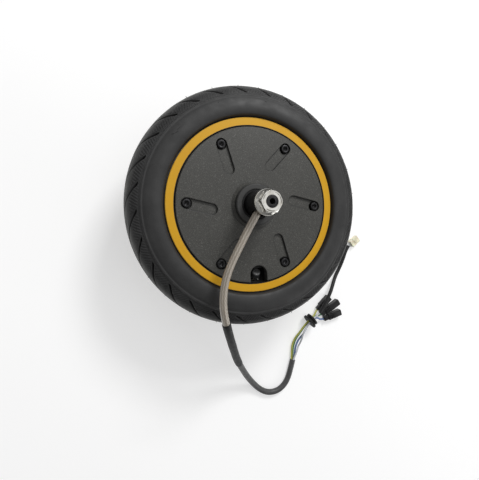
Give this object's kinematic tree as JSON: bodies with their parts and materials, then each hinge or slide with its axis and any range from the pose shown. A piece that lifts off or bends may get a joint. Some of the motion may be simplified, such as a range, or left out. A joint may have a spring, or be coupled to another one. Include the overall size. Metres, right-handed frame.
{
  "type": "hub motor wheel",
  "caption": "Direct-drive hub motor in a wide road tyre, with flat screwed side covers, a fixed nutted axle and a trailing motor cable with plugs.",
  "frame": {"origin": "centre of the wheel, on the axle's line and in the tyre's mid plane", "axes": "+Z along the axle towards the side where the cable leaves; X and Y in the wheel's plane, with the valve and the loose cable towards -Y"},
  "size_m": [0.3176, 0.3693, 0.148],
  "materials": {
    "tyre_rubber": "matt black road tyre rubber",
    "yellow_paint": "satin golden yellow paint",
    "dark_paint": "fine-textured dark warm grey powder coat",
    "black_steel": "black oxide",
    "black_rubber": "matt",
    "bearing_steel": "ground",
    "magnet": "nickel plated",
    "valve_brass": "turned",
    "valve_nickel": "nickel plated",
    "black_plastic": "moulded",
    "axle_black": "black oxide steel",
    "cast_aluminium": "as cast",
    "lamination": "stacked steel sheets",
    "insulator": "moulded nylon",
    "copper": "enamelled copper wire",
    "circuit_board": "solder mask",
    "sleeve_black": "black oxide steel",
    "bright_zinc": "bright zinc plated",
    "braided_sheath": "pale braided sleeve under clear tube",
    "shrink_black": "satin heat-shrink",
    "jacket_black": "satin cable jacket",
    "wire_yellow": "silicone insulation",
    "wire_green": "silicone insulation",
    "wire_blue": "silicone insulation",
    "wire_grey": "silicone insulation",
    "cream_plastic": "moulded nylon",
    "tin": "tin plated"
  },
  "bodies": {
    "axle": {"axle": "axle_black", "stator_spider": "cast_aluminium", "stator_core": "lamination", "end_insulators": "insulator", "stator_windings": "copper", "hall_board": "circuit_board", "hall_sensors": "black_plastic", "front_bearing_inner_race": "bearing_steel", "back_bearing_inner_race": "bearing_steel", "front_spacer_sleeve": "sleeve_black", "back_spacer_sleeve": "sleeve_black", "axle_washer": "bright_zinc", "axle_nut": "bright_zinc", "motor_lead_bundle": "black_rubber", "cable_exit_bush": "black_rubber", "cable_sheath": "braided_sheath", "cable_heat_shrink": "shrink_black", "cable_jacket": "jacket_black", "phase_wire_yellow": "wire_yellow", "phase_wire_green": "wire_green", "phase_wire_blue": "wire_blue", "hall_lead_grey": "wire_grey", "cable_grommet": "black_rubber", "phase_connector_a": "black_plastic", "phase_connector_b": "black_plastic", "phase_connector_c": "black_plastic", "phase_bullets": "valve_brass", "hall_cable": "jacket_black", "hall_pigtails": "wire_grey", "hall_connector": "cream_plastic", "hall_contacts": "tin"},
    "rotor": {"tyre": "tyre_rubber", "hub_shell": "yellow_paint", "front_cover": "dark_paint", "back_cover": "dark_paint", "front_cover_screws": "black_steel", "back_cover_screws": "black_steel", "front_cover_seal": "black_rubber", "back_cover_seal": "black_rubber", "flux_ring": "bearing_steel", "rotor_magnets": "magnet", "front_bearing_outer_race": "bearing_steel", "back_bearing_outer_race": "bearing_steel", "front_bearing_shields": "black_rubber", "back_bearing_shields": "black_rubber", "front_dust_seal": "black_rubber", "back_dust_seal": "black_rubber", "valve_stem": "valve_brass", "valve_nut": "valve_nickel", "valve_cap": "black_plastic", "valve_core": "valve_brass"},
    "front_ball_set": {"front_bearing_balls": "bearing_steel", "front_bearing_cage": "insulator"},
    "back_ball_set": {"back_bearing_balls": "bearing_steel", "back_bearing_cage": "insulator"},
    "valve_pin": {"valve_core_pin": "valve_brass"}
  },
  "joints": [
    {"name": "wheel_spin", "type": "hinge", "parent": "axle", "child": "rotor", "pos_m": [0, 0, 0], "axis": [0, 0, 1], "continuous": true},
    {"name": "front_ball_spin", "type": "hinge", "parent": "axle", "child": "front_ball_set", "pos_m": [0, 0, 0.0235], "axis": [0, 0, 1], "continuous": true},
    {"name": "back_ball_spin", "type": "hinge", "parent": "axle", "child": "back_ball_set", "pos_m": [0, 0, -0.0235], "axis": [0, 0, 1], "continuous": true},
    {"name": "valve_pin_press", "type": "slide", "parent": "rotor", "child": "valve_pin", "axis": [0.0447, -0.6386, -0.7682], "range_m": [0, 0.0015], "stiffness_N_per_m": 1500, "springref_m": -0.001}
  ],
  "couplings": [
    {"joint": "front_ball_spin", "follows": "wheel_spin", "ratio": 0.5915},
    {"joint": "back_ball_spin", "follows": "wheel_spin", "ratio": 0.5915}
  ]
}
